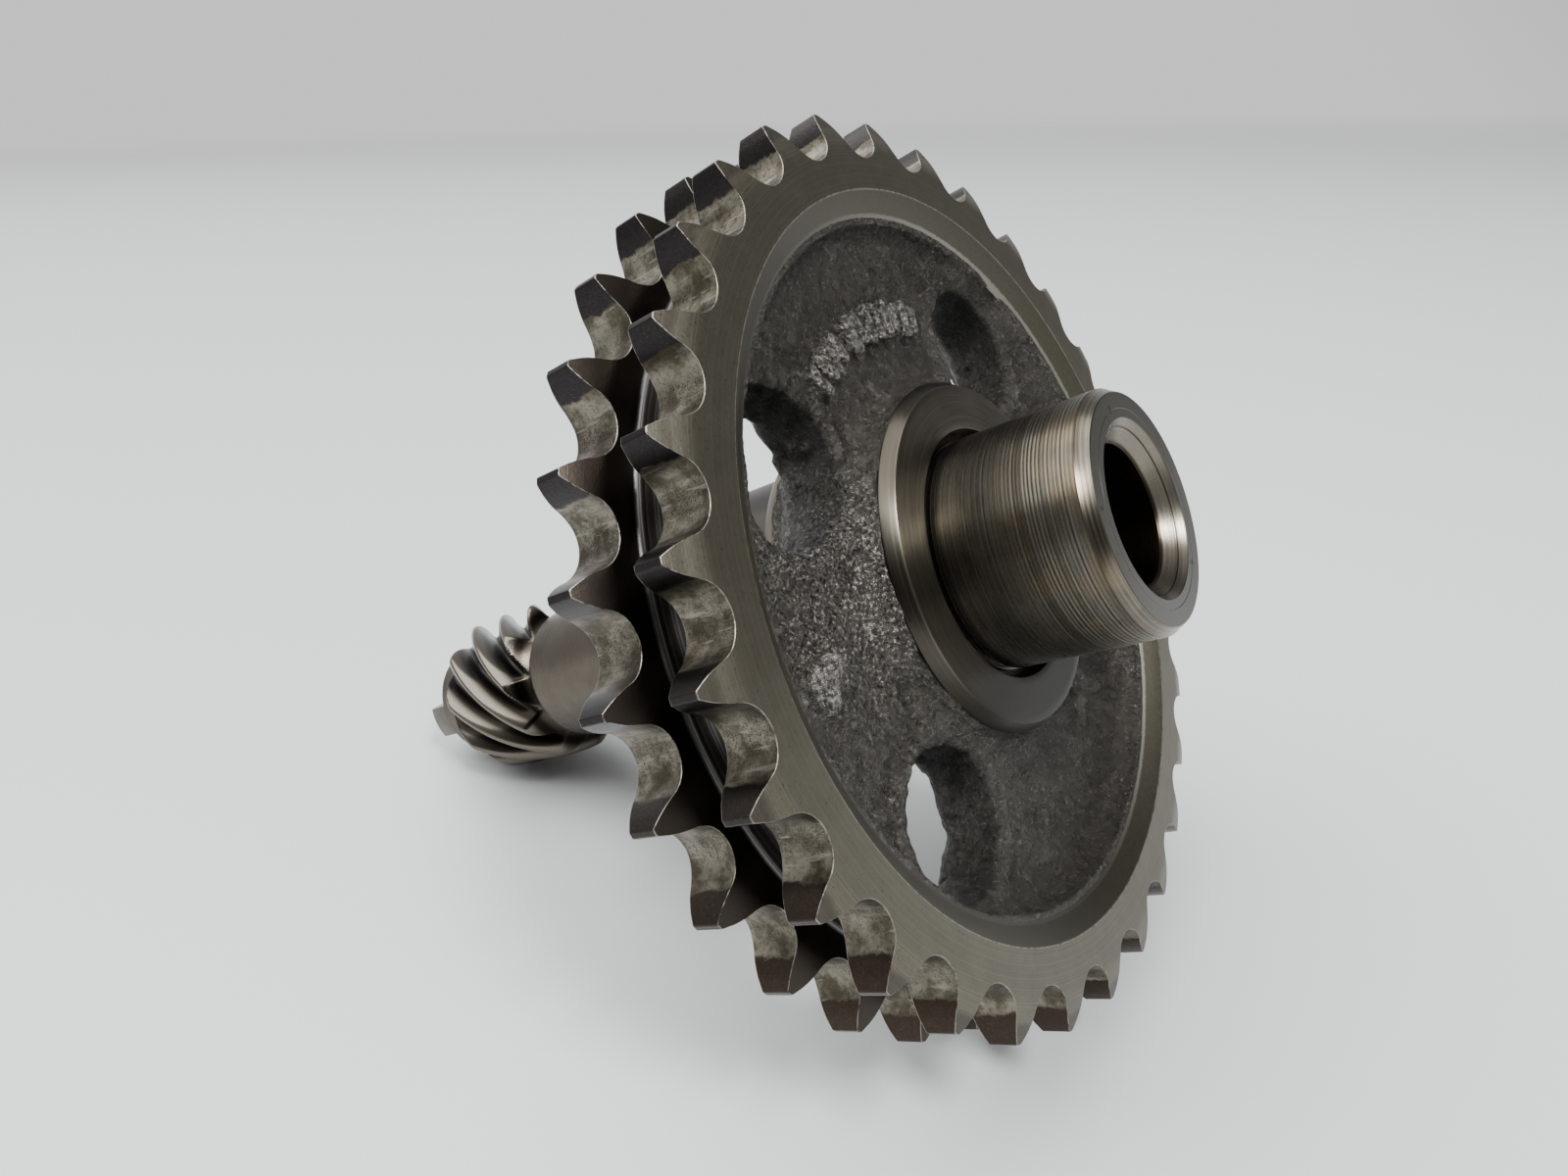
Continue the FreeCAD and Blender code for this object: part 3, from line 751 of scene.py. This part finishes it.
def rim_finish():
    """Turned faces with fine rings, stained gullets, dark tips and a channel darkened with oil and
    painted shade.
    """
    f = Finish("machined_rim")
    mottle = f.noise(0.45, 5, roughness=0.65)
    fine = f.noise(2.6, 5, roughness=0.75)
    grit = f.noise(7.0, 3, roughness=0.8)
    flank = f.kept("flank")
    worn = f.kept("worn")
    plain = f.math("SUBTRACT", 1.0, flank)
    wander = f.math("ADD", f.radius, f.times(mottle, 0.12))
    rings = f.line_noise(wander, 9.0, 4)

    # Turned faces and bevel, with a thin sheared line where they meet the casting, painted brighter
    # towards +X as a painted highlight.
    face = f.mix(mottle, (0.098, 0.090, 0.067), (0.158, 0.147, 0.115))
    face = f.stain(face, f.step(rings, 0.48, 0.72), 0.55, (0.19, 0.18, 0.15))
    face = f.stain(face, f.step(fine, 0.44, 0.28), 0.7, (0.035, 0.031, 0.022))
    fringe = f.math("ADD", f.radius, f.times(f.math("SUBTRACT", fine, 0.5), 0.5))
    bevel = f.step(f.radius, 38.92, 38.78)
    face = f.mix(bevel, face, f.mix(fine, (0.050, 0.046, 0.034), (0.105, 0.098, 0.076)))
    # The sheared line, with a painted highlight that grows towards +X.
    sheared_line_highlight = f.times(f.step(fringe, 37.0, 36.85), f.blend(f.step(f.x, -10.0, 20.0), 0.25, 0.8))
    face = f.mix(sheared_line_highlight, face, (0.24, 0.23, 0.20))

    # Gaps between the teeth: stained, speckled low down and scratched across.
    gullet = f.mix(f.step(mottle, 0.36, 0.64), (0.058, 0.051, 0.036), (0.185, 0.170, 0.135))
    bands = f.drawn_out(3, (f.x, 0.9), (f.y, 0.05), (f.z, 0.9))
    gullet = f.stain(gullet, f.step(bands, 0.46, 0.36), 0.45, (0.050, 0.043, 0.031))
    gullet = f.stain(gullet, f.step(fine, 0.50, 0.36), 0.6, (0.036, 0.026, 0.018))
    base = f.step(f.radius, 43.6, 42.2)
    specks = f.times(f.step(grit, 0.50, 0.60), f.times(base, 0.85))
    gullet = f.mix(specks, gullet, (0.020, 0.017, 0.013))
    across = f.drawn_out(3, (f.x, 1.6), (f.y, 0.22), (f.z, 1.6))
    gullet = f.stain(gullet, f.step(across, 0.62, 0.68), 0.4, (0.30, 0.285, 0.25))

    # Tips, dark under a wandering edge; painted reflection makes them blue-black above and brown
    # below.
    edge_line = f.math("ADD", f.radius, f.times(f.math("SUBTRACT", mottle, 0.5), 1.9))
    dark = f.step(edge_line, 44.55, 44.85)
    tip = f.mix(fine, (0.010, 0.009, 0.010), (0.032, 0.028, 0.027))
    low_tip_reflection_brown = f.mix(fine, (0.020, 0.014, 0.010), (0.050, 0.037, 0.028))
    # Painted reflection: tips lower down are given the brown colour.
    tip = f.mix(f.step(f.z, 12.0, -25.0), tip, low_tip_reflection_brown)
    tip = f.stain(tip, f.step(grit, 0.62, 0.72), 0.5, (0.22, 0.20, 0.18))
    colour = f.mix(flank, face, f.mix(dark, gullet, tip))
    shade = f.times(f.step(edge_line, 44.9, 46.0), f.times(plain, 0.55))
    colour = f.mix(shade, colour, (0.028, 0.024, 0.020))

    # The channel between the rows, darkened with oil and painted shade, with bright lines round its
    # barrel.
    inward = f.step(f.math("ABSOLUTE", f.y), 2.9, 2.3)
    back_row_front = f.times(f.step(f.y, 1.0, 2.0), f.step(f.y, 4.6, 3.9))
    # Mask of the channel's oil and painted shade.
    oil_and_shade = f.times(f.math("MAXIMUM", inward, back_row_front), plain)
    barrel = f.times(f.step(f.radius, 40.6, 40.4), f.step(f.math("ABSOLUTE", f.y), 2.6, 2.5))
    thin = f.times(f.step(f.line_noise(f.y, 3.2, 2), 0.50, 0.56), barrel)
    colour = f.mix(oil_and_shade, colour, f.mix(thin, (0.040, 0.033, 0.027), (0.085, 0.083, 0.085)))

    # Edges worn bright.
    scraped = f.step(f.noise(1.3, 4, roughness=0.7), 0.36, 0.56)
    bright = f.times(worn, f.blend(scraped, 0.0, 0.8))
    colour = f.mix(bright, colour, (0.32, 0.30, 0.26))
    rough = f.blend(flank, f.blend(fine, 0.34, 0.52), f.blend(fine, 0.24, 0.50))
    rough = f.blend(f.times(flank, dark), rough, 0.30)
    rough = f.blend(oil_and_shade, rough, 0.33)
    normal = f.bump(rings, 0.012, 0.5)
    normal = f.bump(fine, 0.04, 0.45, under=normal)
    normal = f.bump(grit, 0.015, 0.5, under=normal)
    return f.finish(colour, rough, normal)


def cast_finish():
    """Dark oiled sand casting with a sharp grain, painted sparkle on the grain and painted shade in
    its holes.
    """
    f = Finish("sand_cast_iron", 0.92)
    broad = f.noise(0.16, 3)
    grain = f.noise(1.2, 5, roughness=0.75)
    sand = f.noise(2.6, 4, roughness=0.72)
    fine = f.noise(7.0, 2)
    # A patch on the left of the web is painted brighter, with more painted sparkle: a painted
    # highlight.
    sparkle_patch = f.step(f.away(*SPARKLE_PATCH_PLACE), 15.0, 3.0)
    colour = f.mix(broad, (0.060, 0.057, 0.049), (0.114, 0.109, 0.095))
    colour = f.stain(colour, sparkle_patch, 0.45, (0.135, 0.129, 0.116))
    # Bright grains are painted in as sparkle, a painted highlight, densest in the bright patch.
    colour = f.stain(colour, f.step(sand, 0.53, 0.62), f.blend(sparkle_patch, 0.26, 1.0), (0.50, 0.48, 0.44))
    colour = f.stain(colour, f.step(sand, 0.47, 0.36), f.blend(sparkle_patch, 0.65, 1.0),
                     (0.014, 0.0135, 0.012))

    # Painted glints on the raised ridges, in the ring where they stand, and painted shade on the
    # walls of the holes, darkest where they face down.
    near = 100.0
    for degrees in HOLE_ANGLES:
        near = f.math("MINIMUM", near, f.away(*polar(HOLE_CIRCLE, degrees)))
    ring = f.times(f.step(f.radius, 22.8, 23.6), f.step(f.radius, 33.0, 32.2))
    proud = f.times(f.step(f.y, -3.9, -4.4), ring)
    glint = f.times(proud, f.step(f.noise(1.9, 3, roughness=0.7), 0.46, 0.58))
    colour = f.stain(colour, glint, 0.7, (0.46, 0.45, 0.42))
    # Painted shade on the hole walls, strongest where they face down.
    hole_wall_shade = f.times(f.step(near, 9.0, 8.0), f.step(f.math("ABSOLUTE", f.y), 3.7, 2.7))
    colour = f.stain(colour, hole_wall_shade, f.blend(f.facing_down(), 0.35, 0.9), (0.008, 0.0075, 0.007))
    rough = f.blend(grain, 0.16, 0.36)
    normal = f.bump(grain, 0.90, 1.0)
    normal = f.bump(sand, 0.60, 1.0, under=normal)
    normal = f.bump(fine, 0.06, 0.5, under=normal)
    return f.finish(colour, rough, normal)


def turned_steel(name, dark, light, ring_depth, rough_low, rough_high):
    """Faced steel with fine rings round the axis, darker low on the boss and on the sleeve."""
    f = Finish(name)
    f.turned(0.75)
    mottle = f.noise(0.3, 4)
    wander = f.math("ADD", f.radius, f.times(mottle, 0.06))
    rings = f.line_noise(wander, 5.0, 3)
    streaks = f.drawn_out(4, (f.angle, 2.5), (f.radius, 3.0))
    fine = f.noise(6.0, 3)
    colour = f.mix(mottle, dark, light)
    colour = f.stain(colour, f.step(rings, 0.50, 0.75), 0.35,
                     tuple(min(1.0, 1.5 * part) for part in light))
    colour = f.stain(colour, f.step(streaks, 0.5, 0.75), 0.5, tuple(0.35 * part for part in dark))
    edge = f.times(f.step(f.radius, BOSS_FACE_RADIUS, 18.0), f.step(f.radius, 22.0, 20.0))
    colour = f.stain(colour, edge, 0.55, (0.035, 0.032, 0.027))
    low = f.times(f.step(f.z, -1.0, -12.0), f.step(f.y, -4.0, -5.0))
    colour = f.stain(colour, low, 0.93, (0.018, 0.0165, 0.013))
    sleeve = f.times(f.step(f.y, 8.4, 8.8), f.step(f.radius, 13.0, 14.0))
    colour = f.stain(colour, sleeve, 0.7, (0.020, 0.018, 0.015))
    rough = f.blend(rings, rough_low, rough_high)
    normal = f.bump(rings, ring_depth, 0.6)
    normal = f.bump(fine, 0.01, 0.3, under=normal)
    return f.finish(colour, rough, normal)


def shaft_finish():
    """Ground shaft, polished on the crests of its teeth and black between them with oil and painted
    shade.
    """
    f = Finish("ground_shaft")
    mottle = f.noise(0.3, 4)
    rings = f.line_noise(f.math("ADD", f.y, f.times(mottle, 0.06)), 4.0, 3)
    fine = f.noise(5.0, 4, roughness=0.7)
    colour = f.mix(mottle, (0.062, 0.053, 0.041), (0.118, 0.104, 0.083))
    colour = f.stain(colour, f.step(fine, 0.58, 0.70), 0.5, (0.030, 0.025, 0.019))
    toothed = f.times(f.step(f.y, GEAR_FRONT, 62.2), f.step(f.y, GEAR_REAR, 80.2))
    # Grooves between the teeth are painted near-black: oil and painted shade.
    groove = f.step(f.radius, 10.8, 9.7)
    crest = f.mix(fine, (0.085, 0.074, 0.058), (0.19, 0.172, 0.143))
    teeth = f.mix(groove, crest, (0.012, 0.010, 0.008))
    colour = f.mix(toothed, colour, teeth)
    rough = f.blend(toothed, f.blend(rings, 0.22, 0.34), 0.19)
    return f.finish(colour, rough, f.bump(fine, 0.012, 0.4, under=f.bump(rings, 0.008, 0.5)))


def pin_finish():
    """Turned steel of the bearing pin: stained bands round it, a painted warm reflection near its
    front, and a bore darkened with oil and painted shade.
    """
    f = Finish("turned_pin")
    f.turned(0.55)
    mottle = f.noise(0.3, 4)
    fine = f.noise(5.0, 4, roughness=0.7)
    lines = f.line_noise(f.y, 5.0, 4)
    bands = f.line_noise(f.y, 0.55, 2)
    # A golden tint on the front of the nose, a painted warm reflection.
    painted_warm_reflection = f.times(f.step(f.noise(0.22, 2), 0.42, 0.62), f.step(f.y, -13.0, -17.0))
    streaks = f.drawn_out(4, (f.angle, 3.0), (f.y, 0.6))
    colour = f.mix(mottle, (0.078, 0.072, 0.058), (0.140, 0.131, 0.108))
    colour = f.stain(colour, f.step(lines, 0.46, 0.66), 0.6, (0.20, 0.187, 0.155))
    colour = f.stain(colour, f.step(bands, 0.50, 0.68), 0.6, (0.070, 0.058, 0.042))
    colour = f.stain(colour, f.step(streaks, 0.52, 0.72), 0.45, (0.050, 0.042, 0.032))
    colour = f.stain(colour, painted_warm_reflection, 0.3, (0.22, 0.165, 0.10))

    # The flat end face, darker low down and nicked.
    front = f.step(f.y, nose_front + 0.10, nose_front + 0.05)
    face_rings = f.line_noise(f.radius, 9.0, 3)
    face = f.mix(face_rings, (0.076, 0.072, 0.058), (0.124, 0.118, 0.097))
    face = f.stain(face, f.step(f.z, 2.0, -8.0), 0.4, (0.05, 0.047, 0.038))
    nick = f.step(f.drawn_out(2, (f.angle, 9.0), (f.radius, 0.45)), 0.68, 0.71)
    face = f.mix(nick, face, (0.015, 0.013, 0.010))
    colour = f.mix(front, colour, face)

    # The hollow: bright cone, dark ledge, and a bore darkened with oil and painted shade.
    bore = f.step(f.radius, 8.85, 8.75)
    cone = f.mix(fine, (0.10, 0.088, 0.068), (0.24, 0.22, 0.18))
    hollow = f.step(f.radius, 8.36, 8.26)
    ledge = f.times(hollow, f.step(f.radius, 8.16, 8.24))
    colour = f.mix(bore, colour, cone)
    colour = f.mix(ledge, colour, (0.018, 0.015, 0.012))
    # The deep bore is painted dark: oil and painted shade.
    colour = f.mix(f.step(f.radius, 7.35, 7.15), colour, (0.030, 0.023, 0.016))

    rough = f.blend(lines, 0.20, 0.36)
    normal = f.bump(lines, 0.012, 0.5)
    normal = f.bump(face_rings, 0.006, 0.4, under=normal)
    normal = f.bump(fine, 0.012, 0.35, under=normal)
    return f.finish(colour, rough, normal)


def bronze_finish():
    """Oiled bearing bronze, darkened all over with oil and painted shade, with a painted golden
    glint on the left.
    """
    f = Finish("bearing_bronze")
    mottle = f.noise(0.8, 4)
    colour = f.mix(mottle, (0.010, 0.007, 0.004), (0.035, 0.021, 0.009))
    # A painted golden glint on the bronze's left side, by the nose's root.
    left = f.times(f.step(f.x, -11.6, -12.4), f.step(f.y, -6.0, -7.0))
    colour = f.mix(left, colour, (0.30, 0.19, 0.07))
    rings = f.line_noise(f.y, 4.0, 3)
    return f.finish(colour, f.blend(rings, 0.42, 0.56), f.bump(rings, 0.02, 0.5))


# Stage -------------------------------------------------------------------------------------------

# The floor runs just under the rear teeth and the gear, which the part leans on.
REST_RADIUS, REST_PLACE = 46.94, ROW_PLACE + LAND_HALF
GEAR_REST = 77.0
FLOOR_GAP = 0.35
LEAN = math.atan2(REST_RADIUS - GEAR_TIP, GEAR_REST - REST_PLACE)
FLOOR_UP = Vector((0, -math.sin(LEAN), math.cos(LEAN)))
FLOOR_DEPTH = (REST_RADIUS * math.cos(LEAN) + REST_PLACE * math.sin(LEAN) + FLOOR_GAP) * MM
FLOOR_REACH = 9.0

CAMERA_PLACE = Vector((-0.10007, -0.06099, 0.02252))
CAMERA_AIM = Vector((0.0, 0.02021, 0.00289))
CAMERA_ROLL = math.radians(24.006)
CAMERA_LENS, CAMERA_SENSOR = 25.22, 36.0


def add_floor():
    """A pale floor that the rear teeth and the gear rest on, fading into the room far away."""
    rings, spokes = 30, 96
    side = FLOOR_UP.orthogonal().normalized()
    other = FLOOR_UP.cross(side)
    points = [-FLOOR_UP * FLOOR_DEPTH]
    for ring in range(1, rings + 1):
        reach = FLOOR_REACH * (ring / rings) ** 3
        for spoke in range(spokes):
            turn = 2 * math.pi * spoke / spokes
            points.append(points[0] + reach * (math.cos(turn) * side + math.sin(turn) * other))
    faces = [(0, 1 + spoke, 1 + (spoke + 1) % spokes) for spoke in range(spokes)]
    for ring in range(rings - 1):
        start = 1 + ring * spokes
        faces += [(start + spoke, start + spokes + spoke, start + spokes + (spoke + 1) % spokes,
                   start + (spoke + 1) % spokes) for spoke in range(spokes)]
    data = bpy.data.meshes.new("floor")
    data.from_pydata([tuple(point) for point in points], [], faces)
    data.update()
    floor = add_object("floor", data)
    material = bpy.data.materials.new("pale_floor")
    material.use_nodes = True
    nodes, links = material.node_tree.nodes, material.node_tree.links
    surface = nodes["Principled BSDF"]
    surface.inputs["Base Color"].default_value = (0.55, 0.563, 0.573, 1)
    surface.inputs["Roughness"].default_value = 0.42
    surface.inputs["Specular IOR Level"].default_value = 0.35
    clear = nodes.new("ShaderNodeBsdfTransparent")
    back = nodes.new("ShaderNodeNewGeometry").outputs["Backfacing"]
    length = nodes.new("ShaderNodeVectorMath")
    length.operation = "LENGTH"
    links.new(nodes.new("ShaderNodeTexCoord").outputs["Object"], length.inputs[0])
    fade = smooth_step(nodes, 0.5, 3.5)
    links.new(length.outputs["Value"], fade.inputs["Value"])
    either = nodes.new("ShaderNodeMath")
    either.operation = "MAXIMUM"
    links.new(back, either.inputs[0])
    links.new(fade.outputs["Result"], either.inputs[1])
    mixer = nodes.new("ShaderNodeMixShader")
    links.new(either.outputs[0], mixer.inputs[0])
    links.new(surface.outputs[0], mixer.inputs[1])
    links.new(clear.outputs[0], mixer.inputs[2])
    links.new(mixer.outputs[0], nodes["Material Output"].inputs["Surface"])
    data.materials.append(material)


def add_light(name, place, aim, size, power, colour=(1, 1, 1)):
    """A soft rectangular light at a place in metres, turned to face a point."""
    data = bpy.data.lights.new(name, "AREA")
    data.shape = "RECTANGLE"
    data.size, data.size_y = size
    data.energy = power
    data.color = colour
    lamp = add_object(name, data)
    lamp.location = place
    lamp.rotation_mode = "QUATERNION"
    lamp.rotation_quaternion = (Vector(aim) - Vector(place)).to_track_quat("-Z", "Y")


def add_camera():
    """The camera at the photograph's viewing angle, close to the nose's left side."""
    ahead = (CAMERA_AIM - CAMERA_PLACE).normalized()
    level = ahead.cross(Vector((0, 0, 1))).normalized()
    upright = level.cross(ahead)
    right = math.cos(CAMERA_ROLL) * level - math.sin(CAMERA_ROLL) * upright
    up = right.cross(ahead)
    data = bpy.data.cameras.new("camera")
    data.sensor_width = CAMERA_SENSOR
    data.lens = CAMERA_LENS
    data.clip_start, data.clip_end = 0.005, 20
    camera = add_object("camera", data)
    matrix = camera.matrix_world.to_3x3()
    matrix.col[0], matrix.col[1], matrix.col[2] = right, up, -ahead
    camera.matrix_world = matrix.to_4x4()
    camera.location = CAMERA_PLACE
    bpy.context.scene.camera = camera


def add_world():
    """Pale surroundings with a dim side in front of the wheel, for the metal to mirror."""
    world = bpy.data.worlds.new("pale_room")
    bpy.context.scene.world = world
    world.use_nodes = True
    nodes, links = world.node_tree.nodes, world.node_tree.links
    background = nodes["Background"]
    place = nodes.new("ShaderNodeTexCoord").outputs["Generated"]

    def toward(direction, low, high):
        """0 to 1 as the view turns towards a direction, between two cosines."""
        dot = nodes.new("ShaderNodeVectorMath")
        dot.operation = "DOT_PRODUCT"
        links.new(place, dot.inputs[0])
        dot.inputs[1].default_value = Vector(direction).normalized()
        span = smooth_step(nodes, low, high)
        links.new(dot.outputs["Value"], span.inputs["Value"])
        return span.outputs["Result"]

    def tint(share, colour, under):
        """A colour laid over another by a share."""
        mixer = nodes.new("ShaderNodeMix")
        mixer.data_type = "RGBA"
        links.new(share, mixer.inputs[0])
        if isinstance(under, tuple):
            mixer.inputs[6].default_value = under
        else:
            links.new(under, mixer.inputs[6])
        mixer.inputs[7].default_value = colour
        return mixer.outputs[2]

    sky = tint(toward(FLOOR_UP, 0.1, 0.9), (0.86, 0.855, 0.85, 1), (1.08, 1.085, 1.09, 1))
    # Two dim sides, to the right and the left in front of the wheel.
    sky = tint(toward((0.72, -0.66, 0.22), 0.66, 0.96), (0.24, 0.235, 0.225, 1), sky)
    sky = tint(toward((-0.80, -0.55, 0.10), 0.70, 0.97), (0.10, 0.098, 0.095, 1), sky)
    links.new(sky, background.inputs["Color"])
    background.inputs["Strength"].default_value = 0.80


# Build -------------------------------------------------------------------------------------------

def place_piece(piece, body, slot, material, *nodes):
    """Gives a piece its material and body, and hides the CAD nodes that it stands for; the slot is
    not used.
    """
    piece.data.materials.append(material)
    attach(piece, body)
    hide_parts(*nodes)


add_camera()
add_floor()
add_world()
add_light("overhead", tuple(FLOOR_UP * 2.2 + Vector((-0.3, 0.9, 0))), (0, 0, 0), (2.6, 2.6), 95.0)
add_light("front_lamp", (-0.31, -1.08, 0.65), (0, 0, 0), (0.32, 0.32), 24.0)

boss_steel = turned_steel("machined_boss", dark=(0.080, 0.071, 0.055), light=(0.140, 0.126, 0.101),
                          ring_depth=0.010, rough_low=0.26, rough_high=0.40)
shaft_steel = shaft_finish()
plain_steel = turned_steel("ground_steel", dark=(0.25, 0.25, 0.24), light=(0.42, 0.42, 0.40),
                           ring_depth=0.01, rough_low=0.2, rough_high=0.34)
spring_steel = turned_steel("spring_steel", dark=(0.05, 0.05, 0.055), light=(0.12, 0.12, 0.125),
                            ring_depth=0.01, rough_low=0.3, rough_high=0.45)

place_piece(make_toothed_rim(), "rotor", "cast_sprocket", rim_finish(), "duplex_sprocket")
place_piece(make_cast_web(), "rotor", "cast_sprocket", cast_finish(), "duplex_sprocket")
place_piece(make_hub(), "rotor", "cast_sprocket", boss_steel, "duplex_sprocket")
place_piece(make_pin(), "bearing", "pin_steel", pin_finish(), "bearing_pin")
place_piece(make_gear_shaft(), "rotor", "shaft_steel", shaft_steel, "gear_shaft")
place_piece(make_tongue(), "rotor", "shaft_steel", shaft_steel, "gear_shaft")

KEPT_NODES = {"hub_bush": bronze_finish(), "thrust_washer": plain_steel,
              "retaining_ring": spring_steel, "shaft_key": plain_steel}
for node, material in KEPT_NODES.items():
    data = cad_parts[node].data
    data.materials.clear()
    data.materials.append(material)
